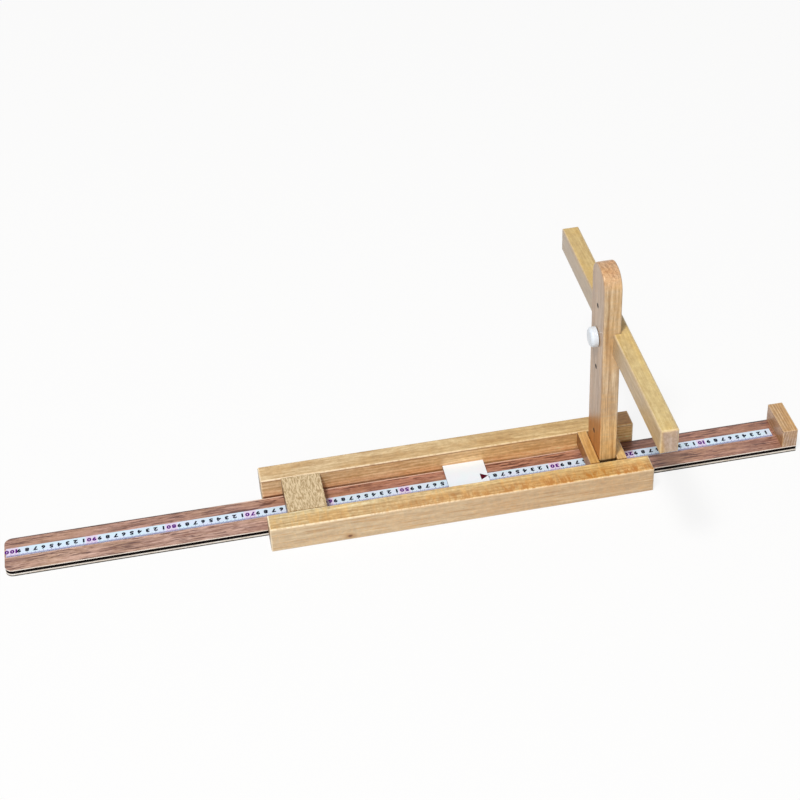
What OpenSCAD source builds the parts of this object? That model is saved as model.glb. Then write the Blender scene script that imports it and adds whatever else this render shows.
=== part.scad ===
// Long-sitting forward-bend meter, in millimetres.
// Two wooden rails straddle a graduated plywood board that slides between them.
// A post stands between the rails and carries a cross bar, which the sitter pushes.
// X runs along the board, with the scale's zero at the +X end, Y runs across it, and Z is up.
// The origin is on the floor under the middle of the board.

/* [Scale board] */
// Length of the plywood board
board_length = 1028; // [1000:1:1100]
// Width of the board
board_width = 60; // [54:1:70]
// Thickness of the board
board_thickness = 10; // [9:0.5:12]
// Radius of the two rounded corners at the far end
board_corner = 10; // [4:1:20]

/* [Scale tape] */
// Width of the graduated tape
tape_width = 16; // [12:1:20]
// Thickness of the tape
tape_thickness = 0.3; // [0.2:0.1:0.6]
// How far the tape's middle lies behind the board's middle
tape_offset = 3; // [0:0.5:6]
// Bare board past the tape's far end
tape_margin = 2; // [1:0.5:10]
// Bare board between the tape's near end and the end block
tape_end_gap = 3.5; // [0.5:0.5:6]

/* [End block] */
// Thickness of the block along the board
end_block_thickness = 20; // [16:1:30]
// Height of the block above the board
end_block_height = 26; // [22:1:40]
// Length of the screws that hold the block
end_screw_length = 28; // [20:1:29]
// Distance between the two screws
end_screw_spacing = 32; // [20:1:40]

/* [Rails] */
// Length of each rail
rail_length = 496; // [480:1:560]
// Thickness of each rail across the board
rail_thickness = 30; // [26:1:40]
// Height of each rail
rail_height = 37; // [34:1:45]
// Gap between the board and each rail
rail_clearance = 2.5; // [1:0.5:4]
// Rounding of the rails' edges
rail_round = 3; // [1:0.5:5]

/* [Cross block] */
// Length of the block along the rails
block_length = 50; // [35:1:60]
// Distance from the rails' far end to the block
block_inset = 27; // [15:1:40]
// Gap over the board
block_gap = 1; // [0.6:0.1:3]

/* [Post stops] */
// Thickness of each stop
stop_thickness = 12.5; // [11:0.5:16]
// Height of each stop
stop_height = 21; // [18:1:23]
// Distance from the rails' near end to the near stop
stop_inset = 28; // [15:1:40]

/* [Post] */
// Thickness of the post along the board
post_thickness = 23; // [18:1:30]
// Depth of the post across the board
post_depth = 54; // [46:1:58]
// Height of the post's top above the floor
post_top = 318; // [310:1:360]
// Radius of the two corners of the top
post_corner = 24; // [6:1:26]
// Rounding of the post's upright edges
post_round = 2.5; // [1:0.5:5]
// Gap between the post's foot and each stop
post_gap = 0.5; // [0.3:0.1:1]

/* [Bar heights] */
// Height of the hole that the bar hangs at
hole_height = 214; // [205:0.5:230]
// Distance to the next hole above and below
hole_pitch = 46.5; // [40:0.5:55]
// Height of the lowest hole, near the foot
foot_hole_height = 64; // [55:1:80]

/* [Cross bar] */
// Length of the bar
bar_length = 440; // [380:1:480]
// Thickness of the bar along the board
bar_thickness = 23; // [20:1:28]
// Height of the bar
bar_height = 34; // [30:1:45]
// How far the bar's middle lies above its bolt
bar_lift = 2.5; // [0:0.5:4]
// Depth of the notch that fits round the post
notch_depth = 10; // [6:0.5:11]
// Gap in the notch on each side of the post
notch_gap = 0.5; // [0.3:0.1:1]
// Rounding of the bar's long edges
bar_round = 3.5; // [1:0.5:5]

/* [Reading plate] */
// Length of the plate along the rails
plate_length = 54; // [40:1:70]
// Thickness of the plate
plate_thickness = 3; // [1:0.1:4]
// Gap between the board and the plate
plate_lift = 2.5; // [2:0.5:6]
// Depth of the grooves in the rails that hold the plate
plate_groove = 4; // [2:0.5:6]
// Distance from the rails' far end to the plate
plate_inset = 237.5; // [160:0.5:260]
// Length of the pointer
pointer_length = 9.5; // [5:0.5:12]
// Width of the pointer's base
pointer_width = 12; // [6:0.5:14]
// Distance from the pointer's tip to the plate's edge
pointer_margin = 0.5; // [0.5:0.5:6]
// Thickness of the pointer
pointer_thickness = 0.3; // [0.2:0.1:0.6]
// Reading under the pointer's tip
reading = 390.5; // [260:0.5:470]

/* [Bolt and knob] */
// Diameter of the bolt's shank
bolt_diameter = 5; // [4:0.5:6]
// Radial gap between the bolt and the holes in the wood
bolt_hole_gap = 0.25; // [0.2:0.05:0.4]
// Width across flats of the bolt's hexagonal head
bolt_head_flats = 8; // [7:0.5:9]
// Height of the bolt's head
bolt_head_height = 3.5; // [3:0.1:4]
// Diameter of both washers
washer_diameter = 10; // [9.5:0.5:12]
// Thickness of both washers
washer_thickness = 1; // [0.8:0.1:1.5]
// Diameter of the counterbore for the head
counterbore_diameter = 13; // [12.5:0.5:18]
// Depth of the counterbore
counterbore_depth = 5; // [4.9:0.1:6]
// Diameter of the knob
knob_diameter = 26; // [22:1:34]
// Height of the knob
knob_height = 9.5; // [9:0.5:14]
// Rounding of the knob's rim
knob_round = 4.5; // [2:0.5:6]
// Diameter of the threaded insert in the knob
insert_diameter = 9; // [8:0.5:12]
// Length of the threaded insert
insert_length = 8; // [6:0.5:8]
// Free length of the insert past the bolt's tip
bolt_tip_gap = 1; // [0.5:0.5:3]
// Radial gap between the bolt and the insert's thread
thread_gap = 0.05; // [0.03:0.01:0.08]

/* [Dowels] */
// Diameter of the dowels in the cross block
block_dowel_diameter = 8; // [6:0.5:10]
// Distance between the two dowels at each end of the block
block_dowel_spacing = 26; // [18:1:30]
// Diameter of the dowels in the stops and the post's foot
stop_dowel_diameter = 6; // [5:0.5:7]
// How far a dowel goes into each of the pieces that it joins
dowel_bite = 16; // [12:0.5:20]
// Distance between the two dowels in the post's foot
post_dowel_spacing = 16; // [14:0.5:18]
// How far the post's dowels go into each stop
post_dowel_bite = 8; // [5:0.5:9]
// Radial gap round a dowel
dowel_gap = 0.05; // [0.03:0.01:0.1]

/* [Hidden] */
$fn = 48;

// Overshoot of a cutting solid past the face that it leaves through
cut = 1;
// Rounding of the small pieces' edges
small_round = 1;
// Gap between the reading plate and the walls of its grooves
plate_gap = 0.1;
// Gap round a wood screw
screw_gap = 0.05;
// Gap round the insert in the knob
insert_gap = 0.02;
// The screws' shank, head and blunt tip
end_screw_diameter = 4;
end_screw_head = 8;
end_screw_tip = 1;
end_screw_point = 4;
// Depth of the screw heads under the board's face
end_screw_sink = 0.4;
// Depth of the cross recess in a screw's head, and width and length of its slots
recess_depth = 1.2;
recess_width = 0.9;
recess_length = 4.4;

// Places along X
near_end = board_length / 2;
far_end = -near_end;
scale_zero = near_end - end_block_thickness;
pointer_tip = scale_zero - reading;
plate_near = pointer_tip + pointer_margin;
plate_far = plate_near - plate_length;
rail_far = plate_far - plate_inset;
rail_near = rail_far + rail_length;
block_far = rail_far + block_inset;
stop_near = rail_near - stop_inset;
socket_near = stop_near - stop_thickness;
post_near = socket_near - post_gap;
post_far = post_near - post_thickness;
socket_far = post_far - post_gap;
stop_far = socket_far - stop_thickness;
bar_far = post_near - notch_depth;
bar_near = bar_far + bar_thickness;
counterbore_floor = bar_near - counterbore_depth;

// Places across Y and up Z
channel = board_width / 2 + rail_clearance;
rail_outer = channel + rail_thickness;
block_bottom = board_thickness + block_gap;
block_middle = (block_bottom + rail_height) / 2;
stop_bottom = rail_height - stop_height;
stop_middle = rail_height - stop_height / 2;
plate_bottom = board_thickness + plate_lift;
plate_top = plate_bottom + plate_thickness;

bolt_hole_radius = bolt_diameter / 2 + bolt_hole_gap;
hole_heights = [foot_hole_height, hole_height - hole_pitch, hole_height, hole_height + hole_pitch];

// A flat outline with four round corners, from the origin
module rounded_rectangle(width, height, radius) {
    for (x = [radius, width - radius], y = [radius, height - radius])
        translate([x, y]) circle(r = radius);
    translate([radius, 0]) square([width - 2 * radius, height]);
    translate([0, radius]) square([width, height - 2 * radius]);
}

// A block from the corner low to the corner high, with the four edges along X rounded
module bar_along_x(low, high, radius) {
    size = high - low;
    translate(low) rotate([90, 0, 90]) linear_extrude(size[0]) rounded_rectangle(size[1], size[2], radius);
}

// The same with the four edges along Y rounded
module bar_along_y(low, high, radius) {
    size = high - low;
    translate([low[0], high[1], low[2]]) rotate([90, 0, 0])
        linear_extrude(size[1]) rounded_rectangle(size[0], size[2], radius);
}

// The same with the four edges along Z rounded
module bar_along_z(low, high, radius) {
    size = high - low;
    translate(low) linear_extrude(size[2]) rounded_rectangle(size[0], size[1], radius);
}

// A block with all its edges rounded
module soft_block(low, high, radius) {
    intersection() {
        bar_along_x(low, high, radius);
        bar_along_y(low, high, radius);
        bar_along_z(low, high, radius);
    }
}

// A straight pin or hole along X, between two values of X
module rod_x(from, to, y, z, radius) {
    translate([from, y, z]) rotate([0, 90, 0]) cylinder(r = radius, h = to - from);
}

// A straight pin or hole along Y, between two values of Y
module rod_y(x, from, to, z, radius) {
    translate([x, to, z]) rotate([90, 0, 0]) cylinder(r = radius, h = to - from);
}

// Dowels from each rail into an end of the cross block; more is what a hole has over its dowel
module block_dowel_rods(more) {
    for (side = [-1, 1], x = [-1, 1] * block_dowel_spacing / 2)
        rod_y(block_far + block_length / 2 + x, side * channel - dowel_bite - more,
              side * channel + dowel_bite + more, block_middle, block_dowel_diameter / 2 + more);
}

// Dowels from each rail into an end of each stop
module stop_dowel_rods(more) {
    for (side = [-1, 1], x = [stop_near, socket_far])
        rod_y(x - stop_thickness / 2, side * channel - dowel_bite - more,
              side * channel + dowel_bite + more, stop_middle, stop_dowel_diameter / 2 + more);
}

// Dowels through the post's foot into both stops
module post_dowel_rods(more) {
    for (y = [-1, 1] * post_dowel_spacing / 2)
        rod_x(socket_far - post_dowel_bite - more, socket_near + post_dowel_bite + more, y,
              stop_middle, stop_dowel_diameter / 2 + more);
}

// One rail; side is -1 for the front and 1 for the back
module rail(side) {
    inner = side * channel;
    outer = side * rail_outer;
    groove = inner + side * (plate_groove + plate_gap);
    difference() {
        soft_block([rail_far, min(inner, outer), 0], [rail_near, max(inner, outer), rail_height], rail_round);
        block_dowel_rods(dowel_gap);
        stop_dowel_rods(dowel_gap);
        translate([plate_far - plate_gap, min(groove, inner - side * cut), plate_bottom - plate_gap])
            cube([plate_length + 2 * plate_gap, plate_groove + plate_gap + cut, plate_thickness + 2 * plate_gap]);
    }
}

module front_rail() {
    color("burlywood") rail(-1);
}

module back_rail() {
    color("burlywood") rail(1);
}

module cross_block() {
    color("wheat") difference() {
        bar_along_y([block_far, -channel, block_bottom], [block_far + block_length, channel, rail_height], small_round);
        block_dowel_rods(dowel_gap);
    }
}

// A thin cross piece against the post's foot, from one value of X
module stop_piece(far) {
    difference() {
        bar_along_y([far, -channel, stop_bottom], [far + stop_thickness, channel, rail_height], small_round);
        stop_dowel_rods(dowel_gap);
        post_dowel_rods(dowel_gap);
    }
}

module post_stop_left() {
    color("wheat") stop_piece(stop_far);
}

module post_stop_right() {
    color("wheat") stop_piece(socket_near);
}

module block_dowels() {
    color("tan") block_dowel_rods(0);
}

module stop_dowels() {
    color("tan") stop_dowel_rods(0);
}

module post_dowels() {
    color("tan") post_dowel_rods(0);
}

module post() {
    half = post_depth / 2;
    // The top's corners meet at most at the post's middle
    corner = min(post_corner, half - post_round);
    color("peru") difference() {
        intersection() {
            bar_along_z([post_far, -half, stop_bottom], [post_near, half, post_top], post_round);
            // The two round corners at the top, seen along X
            translate([post_far, 0, 0]) rotate([90, 0, 90]) linear_extrude(post_thickness) union() {
                translate([-half, stop_bottom]) square([post_depth, post_top - corner - stop_bottom]);
                translate([corner - half, post_top - 2 * corner]) square([post_depth - 2 * corner, 2 * corner]);
                for (y = [-1, 1] * (half - corner))
                    translate([y, post_top - corner]) circle(r = corner);
            }
        }
        for (z = hole_heights)
            rod_x(post_far - cut, post_near + cut, 0, z, bolt_hole_radius);
        post_dowel_rods(dowel_gap);
    }
}

module reading_plate() {
    reach = channel + plate_groove;
    color("white") translate([plate_far, -reach, plate_bottom]) cube([plate_length, 2 * reach, plate_thickness]);
}

module pointer_mark() {
    base = pointer_tip - pointer_length;
    color("maroon") translate([0, 0, plate_top]) linear_extrude(pointer_thickness)
        polygon([[base, -pointer_width / 2], [pointer_tip, 0], [base, pointer_width / 2]]);
}

// Both countersunk screws of the end block; more is what a hole has over its screw
module end_screw_bodies(more) {
    head_depth = (end_screw_head - end_screw_diameter) / 2;
    for (y = [-1, 1] * end_screw_spacing / 2)
        translate([near_end - end_block_thickness / 2, y, end_screw_sink]) {
            cylinder(r = end_screw_diameter / 2 + more, h = end_screw_length - end_screw_point);
            translate([0, 0, end_screw_length - end_screw_point])
                cylinder(r1 = end_screw_diameter / 2 + more, r2 = end_screw_tip / 2 + more,
                         h = end_screw_point + more);
            cylinder(r1 = end_screw_head / 2 + more, r2 = end_screw_diameter / 2 + more, h = head_depth);
            if (more > 0)
                translate([0, 0, -end_screw_sink - cut])
                    cylinder(r = end_screw_head / 2 + more, h = end_screw_sink + cut);
        }
}

module end_block_screws() {
    color("silver") difference() {
        end_screw_bodies(0);
        for (y = [-1, 1] * end_screw_spacing / 2, turn = [0, 90])
            translate([near_end - end_block_thickness / 2, y, end_screw_sink]) rotate([0, 0, turn])
                translate([-recess_length / 2, -recess_width / 2, -cut])
                    cube([recess_length, recess_width, recess_depth + cut]);
    }
}

module scale_board() {
    half = board_width / 2;
    color("rosybrown") difference() {
        linear_extrude(board_thickness) union() {
            translate([far_end + board_corner, -half]) square([board_length - board_corner, board_width]);
            translate([far_end, board_corner - half]) square([board_corner * 2, board_width - 2 * board_corner]);
            for (y = [-1, 1] * (half - board_corner))
                translate([far_end + board_corner, y]) circle(r = board_corner);
        }
        end_screw_bodies(screw_gap);
    }
}

module scale_tape() {
    color("lavender") translate([far_end + tape_margin, tape_offset - tape_width / 2, board_thickness])
        cube([scale_zero - tape_end_gap - far_end - tape_margin, tape_width, tape_thickness]);
}

module end_block() {
    half = board_width / 2;
    color("burlywood") difference() {
        soft_block([scale_zero, -half, board_thickness], [near_end, half, board_thickness + end_block_height],
                   small_round);
        end_screw_bodies(screw_gap);
    }
}

module crossbar() {
    low = hole_height + bar_lift - bar_height / 2;
    half = post_depth / 2 + notch_gap;
    color("burlywood") difference() {
        soft_block([bar_far, -bar_length / 2, low], [bar_near, bar_length / 2, low + bar_height], bar_round);
        translate([bar_far - cut, -half, low - cut]) cube([notch_depth + cut, 2 * half, bar_height + 2 * cut]);
        rod_x(bar_far, bar_near + cut, 0, hole_height, bolt_hole_radius);
        rod_x(counterbore_floor, bar_near + cut, 0, hole_height, counterbore_diameter / 2);
    }
}

module bar_bolt() {
    under_head = counterbore_floor + washer_thickness;
    tip = post_far - washer_thickness - insert_length + bolt_tip_gap;
    color("silver") {
        rod_x(tip, under_head, 0, hole_height, bolt_diameter / 2);
        translate([under_head, 0, hole_height]) rotate([0, 90, 0])
            cylinder(r = bolt_head_flats / 2 / cos(30), h = bolt_head_height, $fn = 6);
    }
}

// A flat washer on the bolt's axis, from one value of X
module washer(from, bore) {
    difference() {
        rod_x(from, from + washer_thickness, 0, hole_height, washer_diameter / 2);
        rod_x(from - cut, from + washer_thickness + cut, 0, hole_height, bore);
    }
}

module bolt_washer() {
    color("silver") washer(counterbore_floor, bolt_hole_radius);
}

module knob_washer() {
    color("silver") washer(post_far - washer_thickness, bolt_hole_radius);
}

module knob_insert() {
    base = post_far - washer_thickness;
    color("gold") difference() {
        rod_x(base - insert_length, base, 0, hole_height, insert_diameter / 2);
        rod_x(base - insert_length - cut, base + cut, 0, hole_height, bolt_diameter / 2 + thread_gap);
    }
}

module knob_cap() {
    radius = knob_diameter / 2;
    color("white") translate([post_far - washer_thickness, 0, hole_height]) rotate([0, -90, 0])
        difference() {
            rotate_extrude() union() {
                square([radius, knob_height - knob_round]);
                square([radius - knob_round, knob_height]);
                translate([radius - knob_round, knob_height - knob_round]) circle(r = knob_round);
            }
            translate([0, 0, -cut]) cylinder(r = insert_diameter / 2 + insert_gap, h = insert_length + cut);
        }
}

front_rail();
back_rail();
cross_block();
post_stop_left();
post_stop_right();
block_dowels();
stop_dowels();
post();
post_dowels();
reading_plate();
pointer_mark();
scale_board();
scale_tape();
end_block();
end_block_screws();
crossbar();
bar_bolt();
bolt_washer();
knob_washer();
knob_insert();
knob_cap();
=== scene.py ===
import math

import bmesh
import bpy
from mathutils import Matrix, Vector


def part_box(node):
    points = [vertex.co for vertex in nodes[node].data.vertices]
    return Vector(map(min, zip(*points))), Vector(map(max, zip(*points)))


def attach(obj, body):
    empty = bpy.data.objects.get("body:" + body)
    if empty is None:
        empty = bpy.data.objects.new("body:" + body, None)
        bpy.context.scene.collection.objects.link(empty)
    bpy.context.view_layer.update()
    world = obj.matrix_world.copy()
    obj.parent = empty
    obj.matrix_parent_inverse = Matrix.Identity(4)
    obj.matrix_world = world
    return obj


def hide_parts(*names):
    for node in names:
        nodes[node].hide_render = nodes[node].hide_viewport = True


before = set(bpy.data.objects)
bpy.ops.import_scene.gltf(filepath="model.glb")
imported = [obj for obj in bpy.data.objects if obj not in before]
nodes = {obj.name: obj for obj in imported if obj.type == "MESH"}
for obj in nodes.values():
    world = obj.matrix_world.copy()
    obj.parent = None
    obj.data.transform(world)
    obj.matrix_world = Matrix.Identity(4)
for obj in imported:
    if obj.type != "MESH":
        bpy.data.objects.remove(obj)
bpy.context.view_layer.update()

MM = 0.001

scene = bpy.context.scene
scene.view_settings.view_transform = "Standard"


def way_to(azimuth, elevation):
    """The way to a place round the object. Azimuth 0 is in front, and a quarter turn is to the left."""
    level = math.cos(elevation)
    return Vector((-math.sin(azimuth) * level, -math.cos(azimuth) * level, math.sin(elevation)))


# Camera, where the photograph was taken from, and the point on the floor that it is aimed at
PHOTO_SIDE = 800
SENSOR_WIDTH = 36
CAMERA_AZIMUTH = math.radians(11.031)
CAMERA_ELEVATION = math.radians(38.269)
CAMERA_ROLL = math.radians(-1.734)
CAMERA_FOCAL_PIXELS = 1769.3
CAMERA_AIM = Vector((100.26, 183.53, 0)) * MM
CAMERA_DISTANCE = 2442.6 * MM
CAMERA_SHIFT = -0.07


def camera_turn():
    """The camera's right, up and back, as a matrix."""
    back = way_to(CAMERA_AZIMUTH, CAMERA_ELEVATION)
    flat_right = Vector((math.cos(CAMERA_AZIMUTH), -math.sin(CAMERA_AZIMUTH), 0))
    flat_up = back.cross(flat_right)
    right = flat_right * math.cos(CAMERA_ROLL) + flat_up * math.sin(CAMERA_ROLL)
    return Matrix((right, back.cross(right), back)).transposed().to_4x4()


def make_camera():
    data = bpy.data.cameras.new("camera")
    data.sensor_width = SENSOR_WIDTH
    data.lens = CAMERA_FOCAL_PIXELS * SENSOR_WIDTH / PHOTO_SIDE
    data.shift_x = CAMERA_SHIFT
    camera = bpy.data.objects.new("camera", data)
    scene.collection.objects.link(camera)
    scene.camera = camera
    place = CAMERA_AIM + way_to(CAMERA_AZIMUTH, CAMERA_ELEVATION) * CAMERA_DISTANCE
    camera.matrix_world = Matrix.Translation(place) @ camera_turn()


make_camera()


# Materials. All lengths in them are in millimetres.

def colour(red, green, blue):
    return (red, green, blue, 1.0)


def scaled(tone, share):
    return colour(*(part * share for part in tone[:3]))


class Shader:
    """A material whose nodes end in one Principled shader, and short ways to add nodes to it."""

    def __init__(self, name, **constants):
        self.material = bpy.data.materials.new(name)
        self.material.use_nodes = True
        self.tree = self.material.node_tree
        self.surface = self.tree.nodes["Principled BSDF"]
        for socket, value in constants.items():
            self.surface.inputs[socket.replace("_", " ")].default_value = value
        # The point of the surface in its own object, and the way that the surface faces
        coordinates = self.node("TexCoord").outputs
        self.place = self.vector("MULTIPLY", coordinates["Object"], (1 / MM, 1 / MM, 1 / MM))
        self.x, self.y, self.z = self.node("SeparateXYZ", {"Vector": self.place}).outputs
        facing = self.node("SeparateXYZ", {"Vector": coordinates["Normal"]}).outputs
        self.facing = dict(zip("XYZ", facing))

    def feed(self, socket, value):
        if isinstance(value, bpy.types.NodeSocket):
            self.tree.links.new(value, socket)
        else:
            socket.default_value = value

    def give(self, name, value):
        """Feeds an input of the Principled shader."""
        self.feed(self.surface.inputs[name], value)

    def node(self, kind, inputs=(), **settings):
        made = self.tree.nodes.new("ShaderNode" + kind)
        for name, value in settings.items():
            setattr(made, name, value)
        for name, value in dict(inputs).items():
            self.feed(made.inputs[name], value)
        return made

    def math(self, operation, *values):
        made = self.node("Math", operation=operation)
        for socket, value in zip(made.inputs, values):
            self.feed(socket, value)
        return made.outputs[0]

    def vector(self, operation, *values, result="Vector"):
        made = self.node("VectorMath", operation=operation)
        for socket, value in zip(made.inputs, values):
            self.feed(socket, value)
        return made.outputs[result]

    def total(self, *values):
        """The sum of values, where a pair is a value and its weight."""
        parts = [self.math("MULTIPLY", *v) if isinstance(v, tuple) else v for v in values]
        whole = parts[0]
        for part in parts[1:]:
            whole = self.math("ADD", whole, part)
        return whole

    def product(self, *values):
        whole = values[0]
        for value in values[1:]:
            whole = self.math("MULTIPLY", whole, value)
        return whole

    def noise(self, place, detail=2.0, roughness=0.5, distortion=0.0):
        settings = {"Vector": place, "Scale": 1.0, "Detail": detail, "Roughness": roughness,
                    "Distortion": distortion}
        return self.node("TexNoise", settings).outputs["Fac"]

    def field(self, scale, detail):
        """Noise over the piece, with its own scale along X, Y and Z."""
        return self.noise(self.vector("MULTIPLY", self.place, scale), detail=detail)

    def fade(self, value, low, high, start=0.0, end=1.0):
        """start where value is at low or under it, end at high or over it, and smooth between."""
        made = self.node("MapRange", interpolation_type="SMOOTHSTEP")
        for socket, given in zip(made.inputs, (value, low, high, start, end)):
            self.feed(socket, given)
        return made.outputs["Result"]

    def fall(self, value, low, high):
        """1 where value is at low or under it, 0 at high or over it, and smooth between."""
        return self.fade(value, low, high, 1.0, 0.0)

    def spot(self, centre, size):
        """1 at the middle of an ellipsoid and 0 outside it."""
        away = self.vector("DIVIDE", self.vector("SUBTRACT", self.place, centre), size)
        return self.fall(self.vector("LENGTH", away, result="Value"), 0.25, 1.0)

    def mix(self, share, first, second, blend="MIX"):
        made = self.node("Mix", data_type="RGBA", blend_type=blend)
        by_name = {s.identifier: s for s in made.inputs}
        self.feed(by_name["Factor_Float"], share)
        self.feed(by_name["A_Color"], first)
        self.feed(by_name["B_Color"], second)
        return next(s for s in made.outputs if s.identifier == "Result_Color")

    def along(self, axis, low=0.75):
        """1 on a face that looks along that axis, either way, and 0 elsewhere."""
        return self.fade(self.math("ABSOLUTE", self.facing[axis]), low, 0.95)

    def upward(self):
        """1 on a face that looks up, and 0 elsewhere."""
        return self.fade(self.facing["Z"], 0.6, 0.9)

    def frontward(self):
        """1 on a face that looks to the front, and 0 elsewhere."""
        return self.fall(self.facing["Y"], -0.9, -0.6)

    def leftward(self):
        """1 on a face that looks to the left, and 0 elsewhere."""
        return self.fall(self.facing["X"], -0.9, -0.5)

    def rounded(self):
        """0 on a face along the axes and 1 on the round of an edge."""
        sides = [self.math("ABSOLUTE", self.facing[axis]) for axis in "XYZ"]
        most = self.math("MAXIMUM", self.math("MAXIMUM", sides[0], sides[1]), sides[2])
        return self.fall(most, 0.83, 0.985)

    def bump(self, height, strength, distance):
        made = self.node("Bump", {"Height": height, "Strength": strength, "Distance": distance})
        self.give("Normal", made.outputs["Normal"])


EDGE_CREAM = colour(0.9, 0.75, 0.53)
BRIGHTEST_WOOD = (0.95, 0.95, 0.95)


class Wood(Shader):
    """Lacquered solid wood. grain is the axis that the fibres follow, and seed moves the pattern. The
    depths, warm_share, mottle and the strength of the painted highlight on the round edges say how
    strong each part of it is, and curl how far bands across the grain break it up."""

    def __init__(self, name, grain, seed, pale, dark, warm, ring=4.5, ring_depth=0.35, fibre_depth=0.5,
                 pore_depth=0.3, pore_size=(7, 0.5), warm_share=0.35, curl=0.3, mottle=0.25,
                 pith=(55, -40), end_tone=(0.6, 0.5, 0.42), end_low=0.75, edge_wear=0.35, roughness=0.42,
                 coat=0.25):
        super().__init__(name, Coat_Weight=coat, Coat_Roughness=0.22)
        shift = (seed * 137.0, seed * 17.0, seed * 29.0)
        self.local = self.vector("ADD", self.turned_to(grain), shift)
        late = self.late_wood(ring, (0, shift[1] + pith[0], shift[2] + pith[1]))
        self.fibre = self.noise(self.at(32, 1.2, 1.2), detail=4, roughness=0.65)
        self.coarse = self.noise(self.at(60, 4.0, 4.0), detail=3, roughness=0.6)
        pore_length, pore_width = pore_size
        pores = self.noise(self.at(pore_length, pore_width, pore_width), detail=1)
        self.pores = self.fade(pores, 0.58, 0.7)
        shade = self.total(
            (late, ring_depth),
            (self.math("SUBTRACT", self.fibre, 0.45), fibre_depth * 2.2),
            (self.math("SUBTRACT", self.coarse, 0.45), fibre_depth * 2.6),
            (self.pores, pore_depth),
        )
        self.tone = self.mix(self.fade(shade, -0.4, 0.8), pale, dark)
        self.add_warm_patches(warm, warm_share, curl)
        self.add_clouds(curl, mottle)
        self.ends = self.along(grain, end_low)
        self.glaze(self.ends, *end_tone)
        # Painted highlight on the round edges
        self.wear_edges(edge_wear)
        self.roughness = self.fade(self.fibre, 0.3, 0.7, roughness - 0.06, roughness + 0.12)

    def turned_to(self, grain):
        """The place with the grain's axis put first."""
        first = "XYZ".index(grain)
        sides = (self.x, self.y, self.z)
        order = {"X": sides[first], "Y": sides[(first + 1) % 3], "Z": sides[(first + 2) % 3]}
        return self.node("CombineXYZ", order).outputs[0]

    def at(self, length, width, depth):
        """The place, scaled so that a pattern has about this size along and across the grain."""
        return self.vector("MULTIPLY", self.local, (1 / length, 1 / width, 1 / depth))

    def late_wood(self, ring, pith):
        """1 in the dark part of each year ring. The rings wander a little along the grain."""
        wander = self.math("SUBTRACT", self.noise(self.at(160, 30, 30)), 0.5)
        wander = self.math("MULTIPLY", wander, ring * 3.5)
        across = self.vector("MULTIPLY", self.vector("SUBTRACT", self.local, pith), (0, 1, 1))
        reach = self.math("ADD", self.vector("LENGTH", across, result="Value"), wander)
        phase = self.math("FRACT", self.math("DIVIDE", reach, ring))
        return self.product(self.fade(phase, 0.2, 0.85), self.fall(phase, 0.86, 1.0))

    def add_warm_patches(self, warm, share, curl):
        """Warm patches, which the curl of the fibres breaks into short bands across the grain."""
        patch = self.noise(self.at(75, 22, 22), detail=2)
        self.bands = self.noise(self.at(5, 26, 9), detail=2, distortion=0.7)
        patch = self.total(patch, (self.math("SUBTRACT", self.bands, 0.5), curl * 2))
        patch = self.math("MULTIPLY", self.fade(patch, 0.38, 0.72), share)
        self.tone = self.mix(patch, self.tone, warm)

    def add_clouds(self, curl, mottle):
        """Cloudy lightness, finer than the warm patches."""
        cloud = self.noise(self.at(10, 4.5, 4.5), detail=3, roughness=0.7)
        cloud = self.total(cloud, (self.bands, curl * 0.8))
        cloud = self.math("SUBTRACT", cloud, 0.5 + curl * 0.4)
        depth = (mottle * 2.2, mottle * 3.0, mottle * 4.0)
        lightness = self.vector("MULTIPLY_ADD", cloud, depth, (1.03, 1.03, 1.03))
        self.tone = self.vector("MULTIPLY", self.tone, lightness)

    def wear_edges(self, highlight_share):
        """Paints a cream highlight on the round edges, stronger in some places than in others."""
        broken_up = self.noise(self.at(4, 12, 12), detail=2)
        highlit = self.product(self.rounded(), self.fade(broken_up, 0.35, 0.55, 0.45, 1.0), highlight_share)
        self.tone = self.mix(highlit, self.tone, EDGE_CREAM)

    def glaze(self, share, red, green, blue):
        """Multiplies the tone by a colour, as far as share says."""
        self.tone = self.mix(share, self.tone, colour(red, green, blue), "MULTIPLY")

    def paint(self, share, red, green, blue):
        """Mixes a colour into the tone, as far as share says."""
        self.tone = self.mix(share, self.tone, colour(red, green, blue))

    def dim(self, factor):
        """Darkens the tone by a factor."""
        made = self.node("VectorMath", {"Scale": factor}, operation="SCALE")
        self.feed(made.inputs[0], self.tone)
        self.tone = made.outputs[0]

    def finish(self):
        self.give("Base Color", self.vector("MINIMUM", self.tone, BRIGHTEST_WOOD))
        self.give("Roughness", self.roughness)
        self.bump(self.total((self.fibre, 0.5), (self.bands, 0.6), (self.pores, -0.4)), 0.4, 0.14 * MM)
        return self.material


# Rails
CHANNEL_HALF = 32.5
BOARD_TOP = 10
RAIL_TOP = 37
RAIL_PALE = colour(0.76, 0.58, 0.34)
RAIL_DARK = colour(0.45, 0.28, 0.12)
WARM = colour(0.6, 0.32, 0.09)
KNOT = (-88, -62.5, 7)


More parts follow.
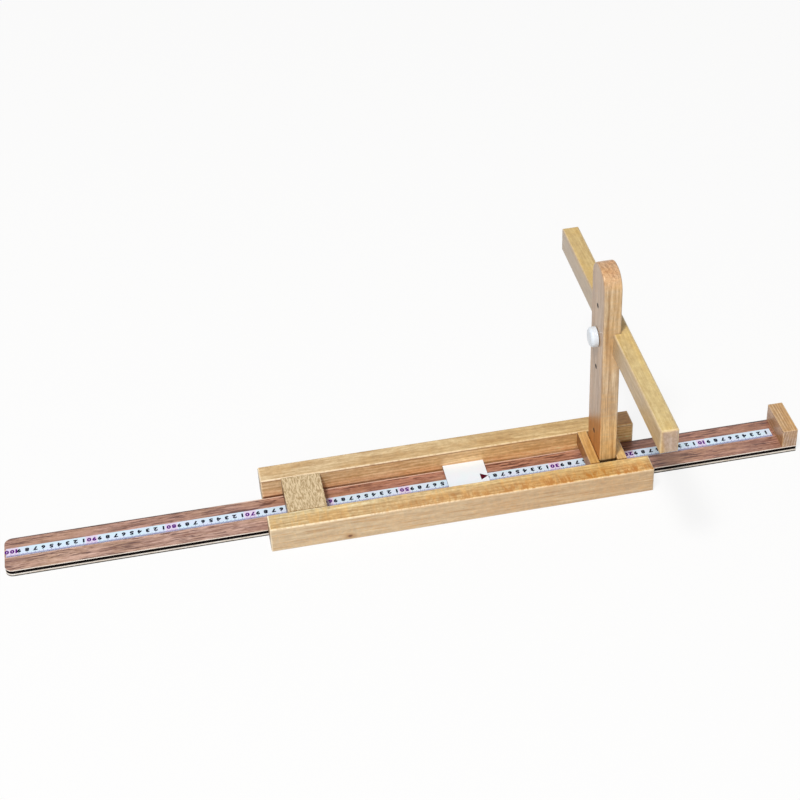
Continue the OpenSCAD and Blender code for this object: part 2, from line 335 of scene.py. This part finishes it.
def inner_faces(rail):
    """The faces that look into the channel: pale, paler still at the foot with painted light, with a
    painted shadow along the board and a painted shadow line under the top edge."""
    inside = rail.fall(rail.math("ABSOLUTE", rail.y), CHANNEL_HALF + 0.5, CHANNEL_HALF + 1.5)
    inside = rail.product(rail.along("Y"), inside)
    rail.glaze(inside, 1.25, 1.22, 1.26)
    rail.glaze(rail.product(inside, rail.fade(rail.x, -60, 200)), 1.08, 1.07, 1.04)
    # Painted light: the foot of the inner faces is made paler
    foot = rail.fall(rail.z, BOARD_TOP, BOARD_TOP + 13)
    rail.glaze(rail.product(inside, foot), 1.22, 1.12, 1.22)
    # Painted shadow where the rail meets the board, weaker towards the right
    gap_shade = rail.fall(rail.z, BOARD_TOP + 0.4, BOARD_TOP + 1.6)
    fading = rail.fade(rail.x, -160, 120, 1.0, 0.35)
    rail.glaze(rail.product(inside, gap_shade, fading), 0.34, 0.22, 0.17)
    # A painted shadow line just under the top edge
    rim = rail.fade(rail.z, RAIL_TOP - 3.4, RAIL_TOP - 2.4)
    rail.glaze(rail.product(inside, rim), 0.5, 0.4, 0.36)


def back_rail_wood():
    """Deeper and more golden towards the right, and brown on top past the post with a painted shadow of
    the post.
    """
    # Its dark end_tone is the end grain, deepened with painted shade
    made = Wood("back_rail_wood", "X", 1, RAIL_PALE, RAIL_DARK, WARM, fibre_depth=0.6, warm_share=0.25,
                curl=0.2, mottle=0.4, end_tone=(0.34, 0.3, 0.26), edge_wear=0.8)
    made.glaze(made.fade(made.x, -150, 260), 0.93, 0.895, 0.74)
    past_post = made.fade(made.x, 262, 275)
    # Painted shadow of the post on the top of the rail past it
    made.glaze(made.product(made.upward(), past_post), 0.97, 0.74, 0.5)
    inner_faces(made)
    made.glaze(made.product(made.along("Y"), past_post), 1.15, 1.25, 1.35)
    return made.finish()


def front_rail_top(rail):
    """More golden, most so towards the right, with an orange flame along the outer edge."""
    top = rail.upward()
    golden = rail.fade(rail.x, -190, 260, 0.15, 1.0)
    rail.glaze(rail.product(top, golden), 1.05, 0.93, 0.64)
    rail.glaze(rail.product(top, rail.fall(rail.x, -120, 20)), 1.04, 1.1, 1.11)
    rail.glaze(rail.product(top, rail.fade(rail.y, -46, -38)), 1.14, 1.29, 1.5)
    flame = rail.noise(rail.at(6, 16, 16), detail=3, roughness=0.65, distortion=0.5)
    outer = rail.fade(rail.y, -55, -41, 1.0, 0.1)
    flame = rail.product(outer, rail.fade(flame, 0.41, 0.63, 0.08, 1.0))
    rail.paint(rail.product(top, flame, golden), 0.48, 0.185, 0.02)


def front_rail_front(rail):
    """Paler and greyer, redder towards the right, with long streaks and a pin knot."""
    front = rail.frontward()
    rail.paint(rail.product(front, 0.5), 0.62, 0.475, 0.33)
    streaks = rail.fade(rail.noise(rail.at(60, 2.6, 2.2), detail=3), 0.52, 0.66)
    rail.glaze(rail.product(front, streaks, 0.7), 0.86, 0.66, 0.46)
    rail.glaze(rail.product(front, rail.fall(rail.x, -100, 150)), 1.04, 1.07, 1.08)
    rail.glaze(rail.product(front, rail.fade(rail.x, -100, 300)), 0.97, 0.92, 0.84)
    rail.paint(rail.product(rail.spot(KNOT, (12, 9, 6)), 0.7), 0.42, 0.2, 0.06)
    rail.paint(rail.spot(KNOT, (4.5, 6, 2.8)), 0.16, 0.06, 0.02)


def front_rail_wood():
    # Its dark end_tone is the end grain, deepened with painted shade
    made = Wood("front_rail_wood", "X", 2, RAIL_PALE, RAIL_DARK, WARM, fibre_depth=0.6, warm_share=0.5,
                curl=0.7, mottle=0.42, end_tone=(0.4, 0.35, 0.28), edge_wear=0.9)
    inner_faces(made)
    front_rail_top(made)
    front_rail_front(made)
    return made.finish()


# Cross block and post stops

def block_wood():
    """Rays cut across show as short pale and brown flecks in rows. The sides that look along X are dark
    with painted shade.
    """
    made = Wood("block_wood", "Y", 3, colour(0.68, 0.53, 0.31), colour(0.4, 0.27, 0.12), WARM,
                ring_depth=0.05, fibre_depth=0.2, pore_depth=0.2, warm_share=0.1, mottle=0.2,
                end_tone=(0.8, 0.7, 0.6), edge_wear=0.1)
    flecks = made.noise(made.at(9, 2.1, 2.1), detail=2, roughness=0.6, distortion=0.9)
    flecked = made.mix(made.fade(flecks, 0.38, 0.62), colour(0.79, 0.63, 0.4), colour(0.36, 0.235, 0.1))
    made.tone = made.mix(0.8, made.tone, flecked)
    # Painted shade on the sides that look along X
    made.glaze(made.along("X"), 0.2, 0.14, 0.08)
    return made.finish()


def stop_wood():
    """Golden, with painted shade on the sides, and paler on the right stop."""
    made = Wood("stop_wood", "Y", 4, colour(0.69, 0.42, 0.135), colour(0.47, 0.245, 0.062), WARM,
                mottle=0.3)
    right_stop = made.fade(made.x, 250, 262)
    made.glaze(right_stop, 1.12, 1.24, 1.5)
    # Painted shade on the sides that look along X, deeper towards the back
    side = made.along("X")
    made.glaze(side, 0.62, 0.5, 0.36)
    made.glaze(made.product(side, made.fade(made.y, -5, 28)), 0.6, 0.45, 0.38)
    return made.finish()


# Post. Its holes are given in millimetres, as its material needs them.
HOLE_RADIUS = 2.75
HOLE_HEIGHTS = (64, 167.5, 214, 260.5)
SEAM_X = 254.6


def post_grain(post):
    """Long vertical streaks, broad on the sides, and speckled end grain over the round top."""
    streaks = post.fade(post.noise(post.at(150, 3.0, 6.0), detail=3, roughness=0.6), 0.5, 0.64)
    post.glaze(post.product(streaks, 0.75), 0.74, 0.66, 0.6)
    speck = post.fade(post.field((0.6, 0.6, 0.6), 2), 0.5, 0.66)
    post.glaze(post.product(post.ends, speck, 0.7), 0.7, 0.5, 0.38)


def post_sides(post):
    """The left side is greyer and darker with painted shade. The foot is warmer, orange on the left side
    with painted bounce light, and dark with painted shade where it stands in the frame.
    """
    side = post.leftward()
    # Painted shade: the left side is made greyer and darker
    post.paint(post.product(side, 0.5), 0.365, 0.245, 0.185)
    foot = post.fall(post.total(post.z, (post.y, 0.57), (post.coarse, 30.0)), 88, 116)
    post.glaze(post.product(foot, 0.85), 1.16, 1.08, 0.82)
    # Painted bounce light: the foot's left side is made orange
    post.glaze(post.product(foot, side), 0.82, 0.45, 0.16)
    # Painted shade on the post where it stands in the frame
    post.dim(post.fade(post.z, RAIL_TOP - 3, RAIL_TOP - 1.5, 0.12, 1.0))


def post_seam(post):
    """A thin dark seam on the front, at about half its height."""
    away = post.math("ABSOLUTE", post.total(post.x, (post.coarse, 3.0), -SEAM_X))
    width = post.fall(away, 0.3, 1.0)
    seam = post.product(width, post.fade(post.z, 96, 104), post.fall(post.z, 150, 190))
    post.glaze(post.product(post.frontward(), seam, 0.8), 0.5, 0.38, 0.3)


def post_holes(post):
    """The bored holes are dark inside with painted shade."""
    for height in HOLE_HEIGHTS:
        across = post.vector("MULTIPLY", post.vector("SUBTRACT", post.place, (0, 0, height)), (0, 1, 1))
        reach = post.vector("LENGTH", across, result="Value")
        # Painted shade inside each hole
        post.dim(post.fade(reach, HOLE_RADIUS + 0.5, HOLE_RADIUS + 1.1, 0.04, 1.0))


def post_wood():
    made = Wood("post_wood", "Z", 5, colour(0.78, 0.6, 0.385), colour(0.42, 0.27, 0.14),
                colour(0.66, 0.37, 0.12), ring=6.5, ring_depth=0.25, warm_share=0.45,
                end_tone=(0.98, 0.84, 0.74), end_low=0.1, edge_wear=0.1, pith=(8, -52))
    post_grain(made)
    post_sides(made)
    post_seam(made)
    post_holes(made)
    return made.finish()


# Cross bar, end block and dowels

def bar_wood():
    """Greyer and darker on the left side with painted shade, paler on top towards the front, with bands
    across the end grain.
    """
    made = Wood("bar_wood", "Y", 6, colour(0.66, 0.485, 0.205), colour(0.5, 0.34, 0.125),
                colour(0.66, 0.42, 0.1), ring_depth=0.25, fibre_depth=0.45, warm_share=0.45, curl=0.15,
                mottle=0.3, end_tone=(0.88, 0.93, 1.78), edge_wear=0.25)
    side = made.leftward()
    # Painted shade on the left side, which is made greyer and darker
    made.glaze(side, 0.86, 0.84, 1.0)
    made.paint(made.product(side, made.fade(made.y, -200, 200, 0.1, 0.55)), 0.4, 0.345, 0.31)
    made.glaze(made.product(made.upward(), made.fall(made.y, -150, 60)), 1.04, 1.1, 1.22)
    bands = made.fade(made.field((0.16, 0.16, 0.02), 2), 0.4, 0.62)
    made.glaze(made.product(made.ends, bands), 0.9, 0.84, 0.8)
    corner = made.fall(made.total(made.x, (made.z, 0.13)), 288.0, 292.5)
    made.glaze(made.product(made.ends, corner), 1.06, 0.96, 0.66)
    return made.finish()


def end_wood():
    made = Wood("end_wood", "Y", 7, colour(0.68, 0.48, 0.27), colour(0.4, 0.22, 0.09), WARM, ring=4,
                ring_depth=0.8, warm_share=0.4, mottle=0.35, end_tone=(0.86, 0.91, 1.26), edge_wear=0.3)
    # Painted shade on the sides that look along X
    made.glaze(made.along("X"), 0.84, 0.77, 0.83)
    return made.finish()


def dowel_wood():
    made = Wood("dowel_wood", "Y", 8, colour(0.75, 0.6, 0.38), colour(0.58, 0.42, 0.24), WARM, coat=0.0)
    return made.finish()


def dress(material, *names):
    """Gives the own meshes of CAD nodes a material."""
    for name in names:
        mesh = nodes[name].data
        mesh.materials.clear()
        mesh.materials.append(material)


dress(front_rail_wood(), "front_rail")
dress(back_rail_wood(), "back_rail")
dress(block_wood(), "cross_block")
dress(stop_wood(), "post_stop_left", "post_stop_right")
dress(dowel_wood(), "block_dowels", "stop_dowels", "post_dowels")
dress(bar_wood(), "crossbar")
dress(end_wood(), "end_block")


# Meshes

def link(name, mesh, body, replaced=()):
    """Makes a piece that rides on a body and the CAD nodes that it stands for."""
    piece = bpy.data.objects.new(name, mesh)
    scene.collection.objects.link(piece)
    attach(piece, body)
    if replaced:
        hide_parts(*replaced)
    return piece


def smooth(piece):
    """Round edges that shade softly while the flat faces between them stay flat."""
    for face in piece.data.polygons:
        face.use_smooth = True
    made = piece.modifiers.new("even_normals", "WEIGHTED_NORMAL")
    made.weight = 80


def prism(outline, axis, low, high, radius, segments):
    """An outline pushed along an axis, with all its sharp edges rounded. The outline is in the other two
    axes, taken in the order that follows the first one."""
    first = "XYZ".index(axis)

    def corner(u, v, w):
        point = [0.0, 0.0, 0.0]
        point[first] = w
        point[(first + 1) % 3] = u
        point[(first + 2) % 3] = v
        return point

    shape = bmesh.new()
    face = shape.faces.new([shape.verts.new(corner(u, v, low)) for u, v in outline])
    made = bmesh.ops.extrude_face_region(shape, geom=[face])["geom"]
    raised = [g for g in made if isinstance(g, bmesh.types.BMVert)]
    bmesh.ops.translate(shape, verts=raised, vec=Vector(corner(0, 0, high - low)))
    bmesh.ops.recalc_face_normals(shape, faces=shape.faces)
    sharp = [e for e in shape.edges if e.calc_face_angle(0) > math.radians(40)]
    bmesh.ops.bevel(shape, geom=sharp, offset=radius, segments=segments, profile=0.5, affect="EDGES",
                    clamp_overlap=True)
    return shape


def mesh_of(shape, name, material):
    mesh = bpy.data.meshes.new(name)
    shape.to_mesh(mesh)
    shape.free()
    mesh.materials.append(material)
    return mesh


def final_mesh(holder):
    """A mesh of its own from an object, as its modifiers or its text make it."""
    bpy.context.view_layer.update()
    graph = bpy.context.evaluated_depsgraph_get()
    return bpy.data.meshes.new_from_object(holder.evaluated_get(graph))


def arc(centre, radius, start, end, steps):
    """Points on a circle from one angle to another, in degrees."""
    turns = [math.radians(start + (end - start) * n / steps) for n in range(steps + 1)]
    return [(centre[0] + radius * math.cos(t), centre[1] + radius * math.sin(t)) for t in turns]


def round_bar(centre, radius, low, high):
    """A mesh of a round bar along X."""
    shape = bmesh.new()
    middle = ((low + high) / 2, centre[0], centre[1])
    turn = Matrix.Translation(middle) @ Matrix.Rotation(math.pi / 2, 4, "Y")
    bmesh.ops.create_cone(shape, cap_ends=True, segments=32, radius1=radius, radius2=radius,
                          depth=high - low, matrix=turn)
    mesh = bpy.data.meshes.new("cutter")
    shape.to_mesh(mesh)
    shape.free()
    return mesh


def bore(mesh, centre, radius, low, high):
    """The mesh with a round hole along X cut through it."""
    cutter = bpy.data.objects.new("cutter", round_bar(centre, radius, low, high))
    whole = bpy.data.objects.new("whole", mesh)
    scene.collection.objects.link(cutter)
    scene.collection.objects.link(whole)
    cut = whole.modifiers.new("cut", "BOOLEAN")
    cut.operation = "DIFFERENCE"
    cut.object = cutter
    result = final_mesh(whole)
    for gone in (cutter, whole):
        bpy.data.objects.remove(gone)
    return result


# The post's shape
POST_ROUND = 2.5 * MM
POST_TOP_RADIUS = 24 * MM
POST_ARC_STEPS = 18
BORE_OVERRUN = 5 * MM


def make_post():
    low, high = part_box("post")
    r = POST_TOP_RADIUS
    outline = [(low.y, low.z), (high.y, low.z)]
    outline += arc((high.y - r, high.z - r), r, 0, 90, POST_ARC_STEPS)
    outline += arc((low.y + r, high.z - r), r, 90, 180, POST_ARC_STEPS)
    mesh = mesh_of(prism(outline, "X", low.x, high.x, POST_ROUND, 4), "post_body", post_wood())
    for height in HOLE_HEIGHTS:
        centre = (0, height * MM)
        mesh = bore(mesh, centre, HOLE_RADIUS * MM, low.x - BORE_OVERRUN, high.x + BORE_OVERRUN)
    mesh.name = "post_body"
    smooth(link("post_body", mesh, "frame", ["post"]))


make_post()


# Scale board: plies, whose edges show, over a dark band that stands for the painted shadow under the
# board
BOARD_CORNER = 10 * MM
BOARD_ARC_STEPS = 14
PLY_ROUND = 0.3 * MM


def veneer_zones(top):
    """Redder within the frame and right of it, darker past its right end with a painted shadow of the
    post beside it, and paler along the front.
    """
    darker = top.fade(top.x, 230, 300)
    top.glaze(top.fade(top.x, -240, -100), 0.98, 0.84, 0.76)
    top.glaze(darker, 0.88, 0.87, 0.89)
    top.glaze(top.fade(top.y, 9, 12), 0.93, 0.88, 0.86)
    top.glaze(top.fall(top.y, -8, -4), 1.09, 1.14, 1.12)
    # The back edge is dark towards both ends, and pale within the frame
    from_middle = top.math("ABSOLUTE", top.x)
    dark_rim = top.product(top.fade(top.y, 27.3, 28.2), top.fade(from_middle, 240, 280))
    top.glaze(dark_rim, 0.3, 0.24, 0.24)
    pale_rim = top.product(top.fade(top.y, 27.6, 28.4), top.fall(from_middle, 200, 250))
    top.paint(top.product(pale_rim, 0.7), 0.8, 0.58, 0.47)
    # Painted shadow of the post and the right stop on the board beside them
    post_shadow = top.product(darker, top.fall(top.x, 300, 360), top.fade(top.y, 4, 12))
    top.glaze(post_shadow, 0.8, 0.72, 0.7)


def veneer():
    """Reddish veneer with open dark pores, and its own paler cut edge."""
    made = Wood("veneer", "X", 9, colour(0.67, 0.42, 0.345), colour(0.2, 0.085, 0.06),
                colour(0.52, 0.33, 0.2), ring=7, ring_depth=0.2, fibre_depth=0.6, pore_depth=0.5,
                pore_size=(12, 1.3), warm_share=0.4, curl=0.1, mottle=0.35, end_tone=(1.0, 1.0, 1.0),
                edge_wear=0.0)
    streaks = made.fade(made.noise(made.at(24, 2.0, 2.0), detail=2, roughness=0.6), 0.515, 0.6)
    patches = made.fade(made.noise(made.at(60, 14, 14), detail=2), 0.4, 0.6, 0.3, 1.0)
    made.paint(made.product(streaks, patches), 0.1, 0.036, 0.028)
    veneer_zones(made)
    fibres = made.fade(made.fibre, 0.35, 0.65)
    cut_edge = made.mix(fibres, colour(0.95, 0.87, 0.79), colour(0.8, 0.68, 0.58))
    made.tone = made.mix(made.fall(made.facing["Z"], 0.3, 0.7), made.tone, cut_edge)
    return made.finish()


def ply_wood(name, seed, pale, dark):
    made = Wood(name, "X", seed, pale, dark, dark, ring_depth=0.1, warm_share=0.1, mottle=0.3,
                end_tone=(1.0, 1.0, 1.0), edge_wear=0.0, coat=0.0, roughness=0.8)
    made.give("Specular IOR Level", 0.05)
    return made.finish()


def make_ply(name, material, bottom, top, setback):
    """One layer of the board: a ply, or the dark band of painted shadow under them. setback is how far
    in its edge lies.
    """
    low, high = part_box("scale_board")
    x0, x1 = low.x + setback, high.x - setback
    y0, y1 = low.y + setback, high.y - setback
    r = BOARD_CORNER - setback
    outline = [(x1, y0), (x1, y1)]
    outline += arc((x0 + r, y1 - r), r, 90, 180, BOARD_ARC_STEPS)
    outline += arc((x0 + r, y0 + r), r, 180, 270, BOARD_ARC_STEPS)
    mesh = mesh_of(prism(outline, "Z", bottom, top, PLY_ROUND, 2), name, material)
    smooth(link(name, mesh, "board", ["scale_board"]))


# The dark base band under the plies stands for the shadow under the board: it is painted shadow
shadow_band_material = ply_wood("shadow_band_shader", 12, colour(0.1, 0.085, 0.065), colour(0.03, 0.025, 0.02))
pale_ply = ply_wood("ply_cross_wood", 11, colour(0.85, 0.8, 0.74), colour(0.62, 0.55, 0.48))
black_ply = ply_wood("ply_core_wood", 10, colour(0.006, 0.004, 0.004), colour(0.002, 0.001, 0.001))
# The dark base band: painted shadow under the board
make_ply("shadow_band", shadow_band_material, bottom=0.0 * MM, top=1.7 * MM, setback=0.1 * MM)
make_ply("ply_cross", pale_ply, bottom=1.7 * MM, top=3.8 * MM, setback=0.0 * MM)
make_ply("ply_core", black_ply, bottom=3.8 * MM, top=8.3 * MM, setback=0.3 * MM)
make_ply("ply_top", veneer(), bottom=8.3 * MM, top=10.0 * MM, setback=0.0 * MM)


# Scale tape: a film, with thin layers of printing over it. The scale starts at the end block.
INK_LIFT = 0.02 * MM
PATCH_LAYER, RULE_LAYER, FIGURE_LAYER = 1, 2, 3
TAPE_ROUND = 0.1 * MM
TAPE_MARGIN = 0.2 * MM
EDGE_LINE = 0.9 * MM
RULE_HALF_WIDTH = 0.25 * MM
RULE_OF_TEN, RULE_OF_FIVE, RULE_OF_ONE = 5.0 * MM, 4.0 * MM, 2.8 * MM
FIGURE_HEIGHT = 6.9 * MM
DECADE_HEIGHT = 7.3 * MM
FIGURE_BOLD = 0.062
FIGURE_STRETCH = 1.15
FIGURE_GAP = 1.0 * MM
FIGURES_BACK = 1.2 * MM
PATCH_MARGIN = 1.5 * MM

tape_low, tape_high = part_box("scale_tape")
scale_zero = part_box("end_block")[0].x
# The readings at the tape's right and left ends
first_mm = math.ceil((scale_zero - tape_high.x) / MM)
last_mm = round((scale_zero - tape_low.x) / MM)


def print_ink(name, tone):
    made = Shader(name, Roughness=0.6, Specular_IOR_Level=0.1)
    uneven = made.fade(made.field((2.5, 2.5, 2.5), 3), 0.3, 0.7)
    made.give("Base Color", made.mix(uneven, tone, scaled(tone, 1.5)))
    return made.material


def film(name, tone, other):
    made = Shader(name, Roughness=0.35, Coat_Weight=0.2, Coat_Roughness=0.15)
    cloud = made.field((1 / 30, 1 / 5, 1 / 5), 3)
    made.give("Base Color", made.mix(made.fade(cloud, 0.35, 0.65), tone, other))
    made.bump(cloud, 0.15, 0.1 * MM)
    return made.material


def figure(character, height):
    """The flat outline of one figure about its own middle: its corners, its faces and its width."""
    curve = bpy.data.curves.new("figure", "FONT")
    curve.body = character
    curve.size = 1
    curve.offset = FIGURE_BOLD
    curve.resolution_u = 2
    holder = bpy.data.objects.new("figure", curve)
    scene.collection.objects.link(holder)
    flat = final_mesh(holder)
    bpy.data.objects.remove(holder)
    points = [v.co.copy() for v in flat.vertices]
    low = Vector((min(p.x for p in points), min(p.y for p in points), 0))
    high = Vector((max(p.x for p in points), max(p.y for p in points), 0))
    size = height / (high.y - low.y)
    middle = (low + high) / 2
    points = [(p - middle) * size * Vector((FIGURE_STRETCH, 1, 1)) for p in points]
    return points, [list(f.vertices) for f in flat.polygons], (high.x - low.x) * size * FIGURE_STRETCH


def layer(number):
    """The height of a layer of printing."""
    return tape_high.z + INK_LIFT * number


def stamp(shape, printed, x):
    """Adds a figure to the printing, turned so that a reader behind the board sees it upright."""
    points, faces, _ = printed
    y = (tape_low.y + tape_high.y) / 2 + FIGURES_BACK
    made = [shape.verts.new((x - p.x, y - p.y, layer(FIGURE_LAYER))) for p in points]
    for face in faces:
        shape.faces.new([made[n] for n in face])


def strip(shape, x0, x1, y0, y1, z):
    """Adds a flat rectangle to the printing."""
    shape.faces.new([shape.verts.new((u, v, z)) for u, v in ((x0, y0), (x1, y0), (x1, y1), (x0, y1))])


def stamp_word(shape, patches, word, x):
    """Adds figures side by side on a patch, from right to left, because they are turned round."""
    widths = [width for _, _, width in word]
    half = (sum(widths) + FIGURE_GAP * (len(word) - 1)) / 2
    left = max(x - half - PATCH_MARGIN, tape_low.x + TAPE_MARGIN)
    right = x + half + PATCH_MARGIN
    front, back = tape_low.y + TAPE_MARGIN, tape_high.y - TAPE_MARGIN
    strip(patches, left, right, front, back, layer(PATCH_LAYER))
    edge = x + half
    for printed, width in zip(word, widths):
        stamp(shape, printed, edge - width / 2)
        edge -= width + FIGURE_GAP


def add_print(name, shape, ink):
    link(name, mesh_of(shape, name, ink), "board")


def make_tape_body():
    outline = [(tape_low.x, tape_low.y), (tape_high.x, tape_low.y), (tape_high.x, tape_high.y),
               (tape_low.x, tape_high.y)]
    shape = prism(outline, "Z", tape_low.z, tape_high.z, TAPE_ROUND, 1)
    white = film("tape_film", colour(0.66, 0.85, 0.98), colour(0.71, 0.8, 0.98))
    link("tape_body", mesh_of(shape, "tape_body", white), "board", ["scale_tape"])


def print_figures():
    """1 to 9 in black at each centimetre, and the tens in purple on pink patches."""
    ones = {c: figure(c, FIGURE_HEIGHT) for c in "123456789"}
    tens = {c: figure(c, DECADE_HEIGHT) for c in "0123456789"}
    figures, decades, patches = bmesh.new(), bmesh.new(), bmesh.new()
    for cm in range(1, last_mm // 10 + 1):
        x = scale_zero - cm * 10 * MM
        if cm % 10:
            stamp(figures, ones[str(cm % 10)], x)
        else:
            stamp_word(decades, patches, [tens[c] for c in str(cm)], x)
    add_print("tape_figures", figures, print_ink("black_ink", colour(0.002, 0.003, 0.014)))
    add_print("tape_decades", decades, print_ink("red_ink", colour(0.09, 0.01, 0.17)))
    pink = film("tape_pink", colour(0.74, 0.66, 0.88), colour(0.78, 0.68, 0.88))
    add_print("tape_patches", patches, pink)


def rule_length(mm):
    if mm % 10 == 0:
        return RULE_OF_TEN
    return RULE_OF_FIVE if mm % 5 == 0 else RULE_OF_ONE


def print_rules():
    """A line along the front edge, and a rule at each millimetre."""
    shape = bmesh.new()
    front, z = tape_low.y + TAPE_MARGIN, layer(RULE_LAYER)
    strip(shape, tape_low.x + TAPE_MARGIN, tape_high.x, front, tape_low.y + EDGE_LINE, z)
    for mm in range(first_mm, last_mm):
        x = scale_zero - mm * MM
        strip(shape, x - RULE_HALF_WIDTH, x + RULE_HALF_WIDTH, front, tape_low.y + rule_length(mm), z)
    add_print("tape_rules", shape, print_ink("rule_ink", colour(0.13, 0.09, 0.28)))


make_tape_body()
print_figures()
print_rules()


# Reading plate, pointer, knob and metal parts

def plastic(name, tone, other, roughness, left_shade=None):
    """Smooth plastic. A dark tone may be given for the side that looks left, as painted shade for the
    shade under a raised edge.
    """
    made = Shader(name, Coat_Weight=0.3, Coat_Roughness=0.1)
    cloud = made.field((0.08, 0.08, 0.08), 3)
    grain = made.field((3.0, 3.0, 3.0), 2)
    base = made.mix(made.fade(cloud, 0.35, 0.65), tone, other)
    if left_shade:
        base = made.mix(made.leftward(), base, left_shade)
    made.give("Base Color", base)
    made.give("Roughness", made.fade(grain, 0.3, 0.7, roughness - 0.05, roughness + 0.08))
    made.bump(grain, 0.15, 0.03 * MM)
    return made.material


def metal(name, tone, roughness):
    """Turned metal, with fine marks along the turning."""
    made = Shader(name, Metallic=1.0)
    turned = made.field((4.0, 0.6, 0.6), 3)
    made.give("Base Color", made.mix(made.fade(turned, 0.3, 0.7), tone, scaled(tone, 0.85)))
    made.give("Roughness", made.fade(turned, 0.3, 0.7, roughness, roughness + 0.15))
    made.bump(turned, 0.2, 0.02 * MM)
    return made.material


# The plate's left side is painted dark: painted shade under its raised edge
dress(plastic("plate_white", colour(0.84, 0.93, 1.0), colour(0.87, 0.92, 1.0), 0.3,
              left_shade=colour(0.03, 0.006, 0.005)), "reading_plate")
dress(print_ink("pointer_ink", colour(0.06, 0.0, 0.008)), "pointer_mark")
dress(metal("zinc", colour(0.62, 0.63, 0.65), 0.28),
      "end_block_screws", "bar_bolt", "bolt_washer", "knob_washer")
dress(metal("brass", colour(0.72, 0.5, 0.2), 0.25), "knob_insert")
dress(plastic("knob_white", colour(0.74, 0.8, 0.87), colour(0.7, 0.77, 0.85), 0.32), "knob_cap")


# Floor, surroundings and lamps
FLOOR_SIDE = 14
FLOOR_TONE = colour(0.86, 0.86, 0.86)
FLOOR_GLOW_SHARE = 0.86
WHITE = colour(1, 1, 1)
WORLD_TONE = colour(1.0, 0.99, 0.98)
WORLD_STRENGTH = 0.25
LAMP_AIM = Vector((0.1, 0, 0.1))


def seen_share(tree):
    """1 for what the camera sees straight, in a gloss or through glass."""
    path = tree.nodes.new("ShaderNodeLightPath").outputs
    whole = path["Is Camera Ray"]
    for other in ("Is Glossy Ray", "Is Transmission Ray"):
        most = tree.nodes.new("ShaderNodeMath")
        most.operation = "MAXIMUM"
        tree.links.new(whole, most.inputs[0])
        tree.links.new(path[other], most.inputs[1])
        whole = most.outputs[0]
    return whole


def end_in_two(tree, plain, seen, share, output):
    """Ends a tree in two shaders: plain lights the object, and seen is shown as far as share says."""
    blend = tree.nodes.new("ShaderNodeMixShader")
    tree.links.new(share, blend.inputs[0])
    tree.links.new(plain.outputs[0], blend.inputs[1])
    tree.links.new(seen.outputs[0], blend.inputs[2])
    out = tree.nodes.new(output)
    tree.links.new(blend.outputs[0], out.inputs["Surface"])


def floor_material():
    material = bpy.data.materials.new("floor")
    material.use_nodes = True
    tree = material.node_tree
    tree.nodes.clear()
    plain = tree.nodes.new("ShaderNodeBsdfDiffuse")
    plain.inputs["Color"].default_value = FLOOR_TONE
    glow = tree.nodes.new("ShaderNodeEmission")
    share = tree.nodes.new("ShaderNodeMath")
    share.operation = "MULTIPLY"
    tree.links.new(seen_share(tree), share.inputs[0])
    share.inputs[1].default_value = FLOOR_GLOW_SHARE
    end_in_two(tree, plain, glow, share.outputs[0], "ShaderNodeOutputMaterial")
    return material


def make_floor():
    shape = bmesh.new()
    bmesh.ops.create_grid(shape, x_segments=1, y_segments=1, size=FLOOR_SIDE / 2)
    floor = bpy.data.objects.new("studio_floor", mesh_of(shape, "studio_floor", floor_material()))
    scene.collection.objects.link(floor)


def make_world():
    world = bpy.data.worlds.new("surroundings")
    scene.world = world
    world.use_nodes = True
    tree = world.node_tree
    tree.nodes.clear()
    light = tree.nodes.new("ShaderNodeBackground")
    light.inputs["Color"].default_value = WORLD_TONE
    light.inputs["Strength"].default_value = WORLD_STRENGTH
    seen = tree.nodes.new("ShaderNodeBackground")
    seen.inputs["Color"].default_value = WHITE
    end_in_two(tree, light, seen, seen_share(tree), "ShaderNodeOutputWorld")


def lamp(name, azimuth, elevation, distance, side, power, tone):
    """A square lamp aimed at the middle of the frame. Its angles are in degrees."""
    data = bpy.data.lights.new(name, "AREA")
    data.size = side
    data.energy = power
    data.color = tone
    way = way_to(math.radians(azimuth), math.radians(elevation))
    holder = bpy.data.objects.new(name, data)
    holder.location = LAMP_AIM + way * distance
    holder.rotation_mode = "QUATERNION"
    holder.rotation_quaternion = way.to_track_quat("Z", "Y")
    scene.collection.objects.link(holder)


make_floor()
make_world()
lamp("key", azimuth=40, elevation=63, distance=7.0, side=1.2, power=380, tone=(1.0, 0.985, 0.96))
lamp("fill", azimuth=10, elevation=25, distance=6.0, side=3.0, power=60, tone=(1.0, 0.985, 0.97))
